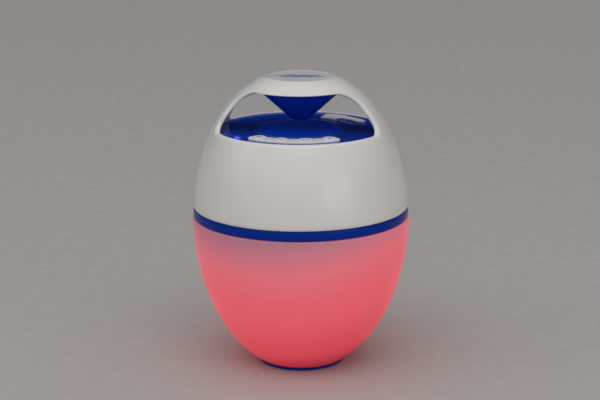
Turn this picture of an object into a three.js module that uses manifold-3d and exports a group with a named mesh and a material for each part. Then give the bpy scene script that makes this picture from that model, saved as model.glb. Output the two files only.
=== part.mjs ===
// Floating pool light with a loudspeaker under its carry bridge.
// Millimetres, +Z up, front of the light towards -Y.
// The origin is the middle of the face that the light stands on.
// Angles of parts on the deck are in degrees from the front, growing towards +X.

import * as THREE from "three";
import { mergeVertices } from "three/addons/utils/BufferGeometryUtils.js";
import Module from "manifold-3d";

const wasm = await Module();
wasm.setup();

// ---------------------------------------------------------------- driving dimensions

const GAP = 0.3; // clearance between pieces that touch
const ROUND = 36; // facets round the casing
const ROUND_RIM = 32; // facets round the grille, the diffuser cone and the foot
const ROUND_MID = 20; // facets round the loudspeaker's parts
const ROUND_BUTTON = 18; // facets round a button
const ROUND_SMALL = 8; // facets round a screw or a post

const casing = { bandLow: 99, bandHigh: 105, shellWall: 3, bowlWall: 2.5 };
const shell = { radius: 69.9, rise: 86, bulge: 1.585, fullness: 2.7, ceiling: 185.5 };
const bowl = { radius: 70.3, drop: 105.14, bulge: 1.967, fullness: 2.109 };
const crown = casing.bandHigh + shell.rise;

// One window at the front and one at the back leave two pillars and the bridge over them.
const opening = {
  sill: 155.9,
  head: 181.75,
  lowHalf: 18, // half width of a pillar near the sill
  lowAt: 160,
  highHalf: 16, // half width of a pillar near the bridge
  highAt: 176,
  sillFillet: 6.5,
  headFillet: 8,
  reach: 80,
};

// The badge closes the crown with a nearly flat top.
const badge = { radius: 21.4, under: 188.2, pocket: 187.9, rise: 0.3 };
const cone = {
  tip: 160.2, tipRadius: 11, slope: 1.1, mouth: 180, wall: 2,
  flange: 29.4, flangeLow: 180.7, flangeHigh: 181.8,
};
const conePost = { radius: 3, at: 15, top: 185.2, floor: 173.2, pilotEnd: 175, screwTip: 177, count: 3 };

// Every screw has the same pan head and shank.
const screw = {
  head: 2.6, headHeight: 1.3, shank: 1, slot: 0.7, slotDepth: 0.6,
  pilot: 1.2, clearance: 1.5, bore: 3, // radii of the holes that it needs
};

const deck = { radius: 53.5, top: 154.5, thick: 3 };
const deckUnder = deck.top - deck.thick;
const deckLeg = { radius: 3.5, at: 46, angles: [70, 180, -70], pilotEnd: 120, screwTip: 118 };
const speaker = {
  hole: 25.5, recess: 30.4, seat: 153, grille: 28, grilleTop: 154.9,
  ringInner: 28.3, ringOuter: 30.1, ringTop: 155.1,
};
const grilleHole = { radius: 3, rings: [{ at: 0, count: 1 }, { at: 10, count: 6 }, { at: 20, count: 12 }] };
const speakerScrew = { at: 33.3, angles: [45, 135, 225, 315], tip: 153.5, pilotEnd: 153.8 };

// The loudspeaker hangs under the deck: magnet, basket, paper cone with its coil, and a soft surround.
const magnet = { radius: 17, low: 119, high: 129.6, gapInner: 8.2, gapOuter: 10, gapFloor: 122.5 };
const basket = {
  eye: 10.5, foot: 17.5, mouth: 27, ledge: 25.2, rim: 31, low: magnet.high + GAP, wall: 1.3,
  mouthAt: 147.5, rimLow: 148.7, rimHigh: 151.2, ear: 3.6,
};
const basketWindow = { side: 16, at: 22, low: 133.5, high: 145 };
const surround = { middle: 23.25, height: 148.2, outer: 1.65, inner: 1.05 };
const coil = { inner: 8.8, outer: 9.4, low: 124.5, high: 135.8 };
const paper = { edge: 21.3, low: 147.4, thick: 1 };
const dustCap = { radius: 6, top: 140, thick: 1 };

const keypad = { middle: 41, width: 10.6, end: 35.6, top: 155.55, step: 21.7 };
const button = { radius: 4.45, top: 156.35, under: 154.2, stem: 1.6, stemEnd: 153.2, pocketFloor: 152.9 };
const buttonNames = ["light", "volume_down", "play", "volume_up"];
const buttonAngles = buttonNames.map((name, place) => (place - 1.5) * keypad.step);
const stakeAngles = [-keypad.step, keypad.step];
const stake = { radius: 1.2, low: 145.8 };
const board = { top: 148.2, thick: 1.6, width: 10, end: 38 };
const tact = { side: 6, top: 151, plunger: 1.5, plungerTop: 151.9 };

const status = { at: 47.5, angle: -50, length: 5.6, width: 2.4 };
const port = { inner: 41.8, outer: 48, anchorInner: 35.8, anchorOuter: 49.6, top: 155.7, corner: 2.6 };
const portMiddle = (port.inner + port.outer) / 2;
const portAngles = { left: 165.5, hinge: 147.8, hingeGap: 0.25, right: 121.5, socket: 134.5 };
const plug = { length: 7.4, width: 2.2, end: 153.4 };
const slot = { length: 8.4, width: 3.2 };
const socket = { length: 9.6, width: 5, low: 144, mouthLength: 7.6, mouthWidth: 2.6, mouthFloor: 146 };

const shellPost = { at: 59.5, radius: 3.5, angles: [45, 135, 225, 315], top: 134, pilotEnd: 116 };
const postWeb = { thick: 2.4, high: 122, outer: 66.5 };
const band = { radius: 69.75, spigot: 66, spigotWall: 2.5, reach: 7, flange: 56.5 };
const bandFlange = { low: 100.5, high: 103.5 };
const groove = { low: 94.3, high: 96.7, depth: 0.7 };
const seal = { middle: 66.5, height: 95.5, radius: 0.9 };
const chassis = { radius: 62.8, low: bandFlange.high + GAP, thick: 2 };
const chassisTop = chassis.low + chassis.thick;
const chassisHole = { post: 4.2, leg: 1.6, peg: 1.4, boss: 3 };

const mainBoard = { length: 64, width: 44, low: 109, thick: 1.6 };
const boardScrewAt = [[-27, 16], [27, -16]];
const boardChips = [
  { length: 10, width: 10, rise: 1.5, place: [-6, 4] }, // amplifier
  { length: 16, width: 12, rise: 2, place: [18, 6] }, // radio
];
const boardCans = [
  { radius: 4, rise: 4, place: [-8, -12] }, // coil
  { radius: 3.2, rise: 6, place: [8, -13] }, // capacitor
];
const cell = { radius: 9.2, length: 65, height: 92.1, nub: 3, nubLength: 1 };
const cradle = { length: 72, width: 24, low: 80.5, wall: 2.1, sideWall: 2, peg: 1 };
const lamp = { count: 6, at: 13, side: 5, thick: 1.6, boardRadius: 20, boardLow: 76.3 };
const dish = { inner: 21.5, outer: 45.5, low: 66, wall: 1.6, backing: 2 };

const foot = { radius: 28, rim: 2, hub: 22, hubTop: 4.5 };
const footScrew = { at: 11, count: 3, headFace: 1.8, hole: 1.6, tip: 11 };
const bowlBoss = { radius: 3.5, top: 13, pilotEnd: 11.8 };
const bowlFloor = 7.3;
const ballast = { inner: 17, outer: 26, top: 19 };

// ---------------------------------------------------------------- materials

const finish = (color, roughness, metalness = 0, more = {}) =>
  new THREE.MeshStandardMaterial({ color, roughness, metalness, ...more });

const materials = {
  whiteGloss: finish(0xecebe8, 0.22),
  badgeGrey: finish(0xcfd2d4, 0.35),
  blueGloss: finish(0x0a2f9c, 0.15),
  blueTextured: finish(0x0a2c8e, 0.5),
  silicone: finish(0xe9e9ec, 0.6),
  bowlGlow: finish(0xe65f6c, 0.35, 0, { emissive: 0xd83c4c, emissiveIntensity: 0.6 }),
  lensGlow: finish(0x6a5cff, 0.3, 0, { emissive: 0x5a4dff, emissiveIntensity: 1 }),
  steel: finish(0xb4b7ba, 0.3, 0.9),
  castIron: finish(0x55585c, 0.6, 0.7),
  blackPlastic: finish(0x1c1c1f, 0.5),
  paperCone: finish(0x26272b, 0.8),
  rubber: finish(0x1a1b1e, 0.7),
  whitePlastic: finish(0xe4e4e2, 0.45),
  circuit: finish(0x14603a, 0.45),
  cellWrap: finish(0x2f6fb4, 0.35),
  lampWhite: finish(0xf3eedc, 0.4),
};

// ---------------------------------------------------------------- solids

const radians = THREE.MathUtils.degToRad;

// A point on the deck plan, from its distance to the axis and its angle from the front.
function onPlan(radius, degrees) {
  const turn = radians(degrees);
  return [radius * Math.sin(turn), -radius * Math.cos(turn)];
}

// A closed three.js geometry as a solid that can be cut and joined.
function toSolid(geometry) {
  const bare = geometry.index ? geometry.toNonIndexed() : geometry.clone();
  bare.deleteAttribute("normal");
  bare.deleteAttribute("uv");
  const merged = mergeVertices(bare, 1e-4);
  const corners = Array.from(merged.index.array);
  const triangles = [];
  for (let i = 0; i < corners.length; i += 3) {
    const [a, b, c] = corners.slice(i, i + 3);
    if (a !== b && b !== c && c !== a) triangles.push(a, b, c);
  }
  return new wasm.Manifold(new wasm.Mesh({
    numProp: 3,
    vertProperties: new Float32Array(merged.attributes.position.array),
    triVerts: new Uint32Array(triangles),
  }));
}

function toGeometry(solid) {
  const mesh = solid.getMesh();
  const geometry = new THREE.BufferGeometry();
  geometry.setAttribute("position", new THREE.BufferAttribute(new Float32Array(mesh.vertProperties), 3));
  geometry.setIndex(new THREE.BufferAttribute(new Uint32Array(mesh.triVerts), 1));
  geometry.computeVertexNormals();
  return geometry;
}

// A turned piece. The profile is a list of [radius, height], anticlockwise round the material.
function turned(profile, facets = ROUND) {
  const points = profile.map(([radius, height]) => new THREE.Vector2(radius, height));
  return toSolid(new THREE.LatheGeometry(points, facets).rotateX(Math.PI / 2));
}

// A turned ring, whose profile closes on itself.
const turnedRing = (profile, facets = ROUND) => turned([...profile, profile[0]], facets);

function cylinder(radius, low, high, place = [0, 0], facets = ROUND_SMALL) {
  const geometry = new THREE.CylinderGeometry(radius, radius, high - low, facets);
  geometry.rotateX(Math.PI / 2).translate(place[0], place[1], (low + high) / 2);
  return toSolid(geometry);
}

// A box on the deck plan, its length along the circle round the axis when it is turned.
function block(length, width, low, high, place = [0, 0], turn = 0) {
  const geometry = new THREE.BoxGeometry(length, width, high - low);
  geometry.rotateZ(radians(turn)).translate(place[0], place[1], (low + high) / 2);
  return toSolid(geometry);
}

function plate(shape, low, high, curveSegments = 6) {
  const geometry = new THREE.ExtrudeGeometry(shape, {
    depth: high - low,
    bevelEnabled: false,
    curveSegments,
  });
  return toSolid(geometry.translate(0, 0, low));
}

const join = (first, ...others) => others.reduce((sum, other) => sum.add(other), first);
const cut = (first, ...tools) => tools.reduce((rest, tool) => rest.subtract(tool), first);

// Steps from one value to another, both ends included.
const steps = (from, to, count) =>
  Array.from({ length: count + 1 }, (_, i) => from + ((to - from) * i) / count);

// ---------------------------------------------------------------- egg outline

// Radius of one half of the egg, at a distance along the axis from its widest place.
const eggRadius = (half, width, reach, along) =>
  width * Math.max(0, 1 - (along / reach) ** half.bulge) ** (1 / half.fullness);

const shellOuter = (z) => eggRadius(shell, shell.radius, shell.rise, z - casing.bandHigh);

const shellInner = (z) =>
  eggRadius(shell, shell.radius - casing.shellWall, shell.rise - casing.shellWall, z - casing.bandHigh);

const bowlOuter = (z) => eggRadius(bowl, bowl.radius, bowl.drop, casing.bandLow - z);

const bowlInner = (z) =>
  eggRadius(bowl, bowl.radius - casing.bowlWall, bowl.drop - casing.bowlWall, casing.bandLow - z);

// Height of the shell's outside above a radius.
const shellHeight = (radius) =>
  casing.bandHigh + shell.rise * (1 - (radius / shell.radius) ** shell.fullness) ** (1 / shell.bulge);

// ---------------------------------------------------------------- upper casing

// Both windows are the same outline in the YZ plane, cut straight through along X.
function windowCutter() {
  const lean = (opening.lowHalf - opening.highHalf) / (opening.highAt - opening.lowAt);
  const side = (z) => opening.lowHalf - (z - opening.lowAt) * lean;
  const outline = filleted([
    [opening.reach, opening.sill, 0],
    [opening.reach, opening.head, 0],
    [side(opening.head), opening.head, opening.headFillet],
    [side(opening.sill), opening.sill, opening.sillFillet],
  ]);
  const geometry = new THREE.ExtrudeGeometry(outline, {
    depth: 2 * opening.reach,
    bevelEnabled: false,
    curveSegments: 3,
  });
  geometry.translate(0, 0, -opening.reach);
  const alongY = new THREE.Vector3(0, 1, 0);
  const alongZ = new THREE.Vector3(0, 0, 1);
  const alongX = new THREE.Vector3(1, 0, 0);
  geometry.applyMatrix4(new THREE.Matrix4().makeBasis(alongY, alongZ, alongX));
  return geometry;
}

// A closed outline from [x, y, fillet radius] corners.
function filleted(corners) {
  const shape = new THREE.Shape();
  corners.forEach(([x, y, radius], i) => {
    const here = new THREE.Vector2(x, y);
    if (radius === 0) {
      if (i === 0) shape.moveTo(x, y);
      else shape.lineTo(x, y);
      return;
    }
    const [beforeX, beforeY] = corners[(i + corners.length - 1) % corners.length];
    const [afterX, afterY] = corners[(i + 1) % corners.length];
    const back = new THREE.Vector2(beforeX - x, beforeY - y).normalize();
    const on = new THREE.Vector2(afterX - x, afterY - y).normalize();
    const halfAngle = Math.acos(back.dot(on)) / 2;
    const reach = radius / Math.tan(halfAngle);
    const inward = back.clone().add(on).normalize();
    const centre = here.clone().addScaledVector(inward, radius / Math.sin(halfAngle));
    const start = here.clone().addScaledVector(back, reach).sub(centre);
    const end = here.clone().addScaledVector(on, reach).sub(centre);
    const clockwise = back.cross(on) > 0;
    shape.absarc(centre.x, centre.y, radius, start.angle(), end.angle(), clockwise);
  });
  shape.closePath();
  return shape;
}

function shellPosts() {
  return shellPost.angles.flatMap((angle) => {
    const webLow = casing.bandHigh + band.reach + 2 * GAP;
    const middle = (shellPost.at + postWeb.outer) / 2;
    const post = cylinder(shellPost.radius, chassis.low, shellPost.top, onPlan(shellPost.at, angle));
    const rib = block(postWeb.thick, postWeb.outer - shellPost.at, webLow, postWeb.high,
      onPlan(middle, angle), angle);
    return [post, rib];
  });
}

function upperShell() {
  const outer = steps(0, 90, 13).map((angle) => {
    const z = casing.bandHigh + shell.rise * Math.sin(radians(angle));
    return [shellOuter(z), z];
  });
  const inner = steps(90, 0, 10).map((angle) => {
    const z = casing.bandHigh + (shell.ceiling - casing.bandHigh) * Math.sin(radians(angle));
    return [shellInner(z), z];
  });
  const body = turned([[0, shell.ceiling], ...inner, ...outer]);
  const front = toSolid(windowCutter().rotateZ(Math.PI));
  const back = toSolid(windowCutter());
  const open = cut(body, front, back, cylinder(badge.radius + GAP, badge.pocket, crown + 1, [0, 0], ROUND));
  const holes = conePostPlaces().flatMap((place) => [
    cylinder(screw.bore, badge.pocket - screw.headHeight - GAP, crown, place),
    cylinder(screw.clearance, shell.ceiling - 1, crown, place),
  ]);
  const pilots = shellPost.angles.map((angle) =>
    cylinder(screw.pilot, casing.bandLow, shellPost.pilotEnd, onPlan(shellPost.at, angle)));
  return cut(join(open, ...shellPosts()), ...holes, ...pilots);
}

function topBadge() {
  const edge = shellHeight(badge.radius);
  const dome = steps(badge.radius, 0, 4).map((radius) =>
    [radius, edge + badge.rise * (1 - (radius / badge.radius) ** 2)]);
  return turned([[0, badge.under], [badge.radius, badge.under], ...dome]);
}

// ---------------------------------------------------------------- sound diffuser

const conePostPlaces = () =>
  Array.from({ length: conePost.count }, (_, i) => onPlan(conePost.at, 60 + (i * 360) / conePost.count));

// The rounded tip runs into a straight cone where both have the same slope.
function coneSide(offset, mouth) {
  const lean = Math.atan(cone.slope);
  const ball = cone.tipRadius - offset;
  const centre = cone.tip + cone.tipRadius;
  const tip = steps(0, Math.PI / 2 - lean, 4).map((angle) =>
    [ball * Math.sin(angle), centre - ball * Math.cos(angle)]);
  const [radius, height] = tip[tip.length - 1];
  return [...tip, [radius + (mouth - height) * cone.slope, mouth]];
}

function diffuserCone() {
  const outside = coneSide(0, cone.mouth);
  const inside = coneSide(cone.wall, cone.mouth + cone.wall * 0.4).reverse();
  const { flange, flangeLow, flangeHigh, wall } = cone;
  const rim = [[flange, flangeLow], [flange, flangeHigh], [flange - wall, flangeHigh]];
  const cup = turned([...outside, ...rim, ...inside], ROUND_RIM);
  const posts = conePostPlaces().map((place) =>
    cylinder(conePost.radius, conePost.floor, conePost.top, place));
  const pilots = conePostPlaces().map((place) =>
    cylinder(screw.pilot, conePost.pilotEnd, conePost.top + 1, place));
  return cut(join(cup, ...posts), ...pilots);
}

// ---------------------------------------------------------------- deck and loudspeaker

// A strip that follows the rim, with round ends, between two angles from the front.
function arcStrip(middle, width, from, to) {
  const half = width / 2;
  const [a, b] = [radians(from - 90), radians(to - 90)];
  const shape = new THREE.Shape();
  shape.absarc(0, 0, middle + half, a, b, false);
  shape.absarc(...onPlan(middle, to), half, b, b + Math.PI, false);
  shape.absarc(0, 0, middle - half, b, a, true);
  shape.absarc(...onPlan(middle, from), half, a + Math.PI, a + 2 * Math.PI, false);
  return shape;
}

// A rounded bar lying along the circle round the axis.
function roundBar(length, width, low, high, place, angle) {
  const half = (length - width) / 2;
  const shape = new THREE.Shape();
  shape.absarc(half, 0, width / 2, -Math.PI / 2, Math.PI / 2, false);
  shape.absarc(-half, 0, width / 2, Math.PI / 2, (3 * Math.PI) / 2, false);
  const depth = high - low;
  const geometry = new THREE.ExtrudeGeometry(shape, { depth, bevelEnabled: false, curveSegments: 3 });
  return toSolid(geometry.rotateZ(radians(angle)).translate(place[0], place[1], low));
}

function deckPanel() {
  const pocket = button.radius + 0.45;
  const stemHole = button.stem + 0.4;
  const disc = turned([[0, deckUnder], [deck.radius, deckUnder], [deck.radius, deck.top], [0, deck.top]]);
  const legs = deckLeg.angles.map((angle) =>
    cylinder(deckLeg.radius, chassisTop + GAP, deckUnder + 0.5, onPlan(deckLeg.at, angle)));
  const stakes = stakeAngles.map((angle) =>
    cylinder(stake.radius, stake.low, deckUnder + 0.5, onPlan(keypad.middle, angle)));
  const legPilots = deckLeg.angles.map((angle) =>
    cylinder(screw.pilot, chassis.low, deckLeg.pilotEnd, onPlan(deckLeg.at, angle)));
  const buttonWells = buttonAngles.flatMap((angle) => [
    cylinder(pocket, button.pocketFloor, deck.top + 1, onPlan(keypad.middle, angle), ROUND_BUTTON),
    cylinder(stemHole, deckUnder - 1, deck.top, onPlan(keypad.middle, angle)),
  ]);
  const speakerPilots = speakerScrew.angles.map((angle) =>
    cylinder(screw.pilot, deckUnder - 1, speakerScrew.pilotEnd, onPlan(speakerScrew.at, angle)));
  const statusHole = roundBar(status.length + 0.8, status.width + 0.8, deckUnder - 1, deck.top + 1,
    onPlan(status.at, status.angle), status.angle);
  const portHole = block(slot.length, slot.width, deckUnder - 1, deck.top + 1,
    onPlan(portMiddle, portAngles.socket), portAngles.socket);
  return cut(
    join(disc, ...legs, ...stakes),
    cylinder(speaker.recess, speaker.seat, deck.top + 1, [0, 0], ROUND),
    cylinder(speaker.hole, deckUnder - 1, deck.top, [0, 0], ROUND_MID),
    ...legPilots, ...buttonWells, ...speakerPilots, statusHole, portHole,
  );
}

function speakerGrille() {
  const low = speaker.seat + GAP;
  const high = speaker.grilleTop;
  const holes = grilleHole.rings.flatMap(({ at, count }) =>
    Array.from({ length: count }, (_, i) =>
      cylinder(grilleHole.radius, low - 1, high + 1, onPlan(at, (i * 360) / count), 6)));
  return cut(cylinder(speaker.grille, low, high, [0, 0], ROUND_RIM), ...holes);
}

function grilleRing() {
  const { ringInner: inner, ringOuter: outer, ringTop: top } = speaker;
  const low = speaker.seat + GAP;
  const chamfer = [[outer, top - 0.2], [outer - 0.5, top]];
  return turnedRing([[inner, low], [outer, low], ...chamfer, [inner, top]], ROUND_RIM);
}

function driverFrame() {
  const { eye, foot: footRadius, mouth, ledge, rim, low, wall, mouthAt, rimLow, rimHigh } = basket;
  const cage = turnedRing([
    [eye, low], [footRadius, low], [mouth, mouthAt], [mouth, rimLow], [rim, rimLow], [rim, rimHigh],
    [ledge, rimHigh], [ledge, mouthAt + 0.4], [footRadius - 1.5, low + wall], [eye, low + wall],
  ], ROUND_MID);
  const ears = speakerScrew.angles.map((angle) =>
    cylinder(basket.ear, rimLow, rimHigh, onPlan(speakerScrew.at, angle)));
  const holes = speakerScrew.angles.map((angle) =>
    cylinder(screw.clearance, rimLow - 1, rimHigh + 1, onPlan(speakerScrew.at, angle)));
  const { side, at, low: windowLow, high: windowHigh } = basketWindow;
  const windows = [0, 90, 180, 270].map((angle) =>
    block(side, side, windowLow, windowHigh, onPlan(at, angle), angle));
  return cut(join(cage, ...ears), ...holes, ...windows);
}

function driverMagnet() {
  const { radius, low, high, gapInner, gapOuter, gapFloor } = magnet;
  return turned([
    [0, low], [radius, low], [radius, high], [gapOuter, high], [gapOuter, gapFloor], [gapInner, gapFloor],
    [gapInner, high], [0, high],
  ], ROUND_MID);
}

function driverSurround() {
  const arch = (radius, from, to) => steps(from, to, 3).map((angle) => {
    const turn = radians(angle);
    return [surround.middle + radius * Math.cos(turn), surround.height + radius * Math.sin(turn)];
  });
  return turnedRing([...arch(surround.outer, 0, 180), ...arch(surround.inner, 180, 0)], ROUND_MID);
}

// Paper cone, dust cap and voice-coil former move together.
function driverCone() {
  const { edge, low, thick } = paper;
  const cap = dustCap.top - dustCap.thick;
  const underside = [
    [0, cap], [dustCap.radius, cap - 0.8], [coil.inner, coil.high + 0.6], [coil.inner, coil.low],
    [coil.outer, coil.low], [coil.outer, coil.high], [edge, low],
  ];
  const face = [
    [edge, low + thick], [coil.outer + 0.6, coil.high + 1.8],
    [dustCap.radius + 0.2, dustCap.top - 0.8], [0, dustCap.top],
  ];
  return turned([...underside, ...face], ROUND_MID);
}

// ---------------------------------------------------------------- keypad

function keypadStrip() {
  const outline = arcStrip(keypad.middle, keypad.width, -keypad.end, keypad.end);
  const strip = plate(outline, deck.top + GAP, keypad.top);
  const holes = buttonAngles.map((angle) =>
    cylinder(button.radius + GAP, deck.top, keypad.top + 1, onPlan(keypad.middle, angle), ROUND_BUTTON));
  return cut(strip, ...holes);
}

function buttonCap(angle) {
  const { radius, top, under, stem, stemEnd } = button;
  const cap = turned([
    [0, stemEnd], [stem, stemEnd], [stem, under], [radius, under], [radius, top - 0.7],
    [radius - 0.3, top - 0.2], [radius - 1, top], [0, top - 0.15],
  ], ROUND_BUTTON);
  const [x, y] = onPlan(keypad.middle, angle);
  return cap.translate([x, y, 0]);
}

function buttonBoard() {
  const low = board.top - board.thick;
  const strip = plate(arcStrip(keypad.middle, board.width, -board.end, board.end), low, board.top);
  const holes = stakeAngles.map((angle) =>
    cylinder(stake.radius + GAP, low - 1, board.top + 1, onPlan(keypad.middle, angle)));
  return cut(strip, ...holes);
}

function tactSwitch(angle) {
  const place = onPlan(keypad.middle, angle);
  const low = board.top + GAP;
  const body = block(tact.side, tact.side, low, tact.top, place, angle);
  return join(body, cylinder(tact.plunger, low, tact.plungerTop, place));
}

function statusLens() {
  const place = onPlan(status.at, status.angle);
  return roundBar(status.length, status.width, deckUnder + 0.2, deck.top + 0.25, place, status.angle);
}

// ---------------------------------------------------------------- charging port

// A rounded block between two radii and two angles, with its corners rounded at one end.
function rimBlock(inner, outer, square, rounded, low, high) {
  const away = Math.sign(rounded - square);
  const inset = (radius) => rounded - away * THREE.MathUtils.radToDeg(port.corner / radius);
  const line = (radius, from, to, count) => steps(from, to, count).map((angle) => onPlan(radius, angle));
  const cornerAt = (radius, from, to) => {
    const [x, y] = onPlan(radius, inset(radius));
    return steps(from, to, 4).map((angle) => {
      const [dx, dy] = onPlan(port.corner, angle);
      return [x + dx, y + dy];
    });
  };
  const points = [
    ...line(outer, square, inset(outer - port.corner), 6),
    ...cornerAt(outer - port.corner, rounded, rounded + away * 90).slice(1),
    ...cornerAt(inner + port.corner, rounded + away * 90, rounded + away * 180),
    ...line(inner, inset(inner + port.corner), square, 6).slice(1),
  ];
  return plate(new THREE.Shape(points.map(([x, y]) => new THREE.Vector2(x, y))), low, high);
}

const portCover = () =>
  rimBlock(port.anchorInner, port.anchorOuter, portAngles.hinge + portAngles.hingeGap, portAngles.left,
    deck.top + GAP, port.top);

function portFlap() {
  const lid = rimBlock(port.inner, port.outer, portAngles.hinge - portAngles.hingeGap, portAngles.right,
    deck.top + GAP, port.top);
  const bung = block(plug.length, plug.width, plug.end, deck.top + 0.5, onPlan(portMiddle, portAngles.socket),
    portAngles.socket);
  return join(lid, bung);
}

function chargingSocket() {
  const place = onPlan(portMiddle, portAngles.socket);
  const { length, width, low, mouthLength, mouthWidth, mouthFloor } = socket;
  const body = block(length, width, low, deckUnder - GAP, place, portAngles.socket);
  return cut(body, block(mouthLength, mouthWidth, mouthFloor, deckUnder, place, portAngles.socket));
}

// ---------------------------------------------------------------- inside the casing

function chassisPlate() {
  const disc = cylinder(chassis.radius, chassis.low, chassisTop, [0, 0], ROUND);
  const bosses = boardScrewAt.map((place) =>
    cylinder(chassisHole.boss, chassis.low, mainBoard.low - GAP, place));
  const through = (radius, place) => cylinder(radius, chassis.low - 1, mainBoard.low, place);
  const holes = [
    ...shellPost.angles.map((angle) => through(chassisHole.post, onPlan(shellPost.at, angle))),
    ...deckLeg.angles.map((angle) => through(chassisHole.leg, onPlan(deckLeg.at, angle))),
    ...boardScrewAt.map((place) => through(screw.pilot, place)),
    ...cradlePegs().map((place) => through(chassisHole.peg, place)),
  ];
  return cut(join(disc, ...bosses), ...holes);
}

function mainCircuit() {
  const top = mainBoard.low + mainBoard.thick;
  const sheet = block(mainBoard.length, mainBoard.width, mainBoard.low, top);
  const chips = boardChips.map(({ length, width, rise, place }) =>
    block(length, width, mainBoard.low, top + rise, place));
  const cans = boardCans.map(({ radius, rise, place }) => cylinder(radius, mainBoard.low, top + rise, place));
  const holes = boardScrewAt.map((place) => cylinder(screw.clearance, mainBoard.low - 1, top + 1, place));
  return cut(join(sheet, ...chips, ...cans), ...holes);
}

const cradlePegs = () => [-1, 1].map((side) => [side * (cradle.length / 2 - 1.35), 0]);

function batteryCradle() {
  const high = chassis.low - GAP;
  const box = block(cradle.length, cradle.width, cradle.low, high);
  const troughWidth = cradle.width - 2 * cradle.sideWall;
  const trough = block(cell.length + 1.6, troughWidth, cradle.low + cradle.wall, high + 1);
  const pegs = cradlePegs().map((place) => cylinder(cradle.peg, high - 1, chassisTop - 0.2, place));
  return join(cut(box, trough), ...pegs);
}

function batteryCell() {
  const { radius, nub, nubLength } = cell;
  const half = cell.length / 2;
  const shoulder = half - nubLength;
  const can = new THREE.LatheGeometry([
    [0, -half], [radius, -half], [radius, shoulder - 0.5], [radius - 1, shoulder],
    [nub, shoulder], [nub, half], [0, half],
  ].map(([r, z]) => new THREE.Vector2(r, z)), 24);
  return toSolid(can.rotateZ(-Math.PI / 2).translate(0, 0, cell.height));
}

function reflector() {
  const top = cradle.low - GAP;
  const { inner, outer, low, wall, backing } = dish;
  return turned([
    [0, top - backing], [inner, top - backing], [outer, low],
    [outer + 0.5, low + wall], [inner + 0.5, top], [0, top],
  ], ROUND_MID);
}

function lampBoard() {
  return cylinder(lamp.boardRadius, lamp.boardLow, cradle.low - dish.backing - 2 * GAP, [0, 0], ROUND_MID);
}

function lampChip(index) {
  const angle = (index * 360) / lamp.count;
  const high = lamp.boardLow - GAP;
  return block(lamp.side, lamp.side, high - lamp.thick, high, onPlan(lamp.at, angle), angle);
}

// ---------------------------------------------------------------- band, bowl and foot

function bandRing() {
  const { radius, spigot, spigotWall, reach, flange } = band;
  const [low, high] = [casing.bandLow + GAP, casing.bandHigh - GAP];
  const inner = spigot - spigotWall;
  const ring = turnedRing([
    [radius, low], [radius, high], [spigot, high], [spigot, casing.bandHigh + reach],
    [inner, casing.bandHigh + reach], [inner, bandFlange.high], [flange, bandFlange.high],
    [flange, bandFlange.low], [inner, bandFlange.low], [inner, casing.bandLow - reach],
    [spigot, casing.bandLow - reach], [spigot, groove.low], [spigot - groove.depth, groove.low],
    [spigot - groove.depth, groove.high], [spigot, groove.high], [spigot, low],
  ]);
  const holes = shellPost.angles.map((angle) =>
    cylinder(screw.clearance, casing.bandLow, casing.bandHigh, onPlan(shellPost.at, angle)));
  return cut(ring, ...holes);
}

function sealRing() {
  const { middle, height, radius } = seal;
  return turnedRing(steps(0, 300, 5).map((angle) => {
    const turn = radians(angle);
    return [middle + radius * Math.cos(turn), height + radius * Math.sin(turn)];
  }));
}

const footScrewPlaces = () =>
  Array.from({ length: footScrew.count }, (_, i) => onPlan(footScrew.at, (i * 360) / footScrew.count));

function lowerBowl() {
  const bottom = foot.rim + GAP;
  const recess = foot.hubTop + GAP;
  const outer = steps(90, 0, 10).map((angle) => {
    const z = casing.bandLow - (casing.bandLow - bottom) * Math.sin(radians(angle));
    return [bowlOuter(z), z];
  });
  const inner = steps(0, 90, 7).map((angle) => {
    const z = casing.bandLow - (casing.bandLow - bowlFloor) * Math.sin(radians(angle));
    return [bowlInner(z), z];
  });
  const hollow = turned([
    [0, recess], [foot.hub + GAP, recess], [foot.hub + GAP, bottom], ...outer, ...inner, [0, bowlFloor],
  ]);
  const bosses = footScrewPlaces().map((place) =>
    cylinder(bowlBoss.radius, recess + 0.5, bowlBoss.top, place));
  const pilots = footScrewPlaces().map((place) => cylinder(screw.pilot, 0, bowlBoss.pilotEnd, place));
  return cut(join(hollow, ...bosses), ...pilots);
}

function baseFoot() {
  const disc = turned([
    [0, 0], [foot.radius, 0], [foot.radius, foot.rim], [foot.hub, foot.rim], [foot.hub, foot.hubTop],
    [0, foot.hubTop],
  ], ROUND_RIM);
  const holes = footScrewPlaces().flatMap((place) => [
    cylinder(screw.bore, -1, footScrew.headFace, place),
    cylinder(footScrew.hole, -1, foot.hubTop + 1, place),
  ]);
  return cut(disc, ...holes);
}

function ballastWeight() {
  const low = bowlFloor + GAP;
  const { inner, outer, top } = ballast;
  const chamfer = [[outer, top - 1], [outer - 1, top]];
  return turnedRing([[inner, low], [outer, low], ...chamfer, [inner, top]], ROUND_MID);
}

// ---------------------------------------------------------------- screws

// A pan-head screw, head at the low end when the shank points up.
function panScrew(place, headFace, tip) {
  const up = Math.sign(tip - headFace);
  const head = headFace - up * screw.headHeight;
  const slotFloor = head + up * screw.slotDepth;
  const body = join(
    cylinder(screw.head, Math.min(head, headFace), Math.max(head, headFace), place),
    cylinder(screw.shank, Math.min(head, tip), Math.max(head, tip), place, 6),
  );
  const [slotLow, slotHigh] = [head - up, slotFloor].sort((a, b) => a - b);
  const recess = block(screw.head, screw.slot, slotLow, slotHigh, place);
  return cut(body, recess);
}

// ---------------------------------------------------------------- assembly

const light = new THREE.Group();

function add(name, solid, material) {
  const mesh = new THREE.Mesh(toGeometry(solid), material);
  mesh.name = name;
  light.add(mesh);
}

function addEach(name, places, make, material) {
  places.forEach((place, i) => add(`${name}_${i + 1}`, make(place, i), material));
}

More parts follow.
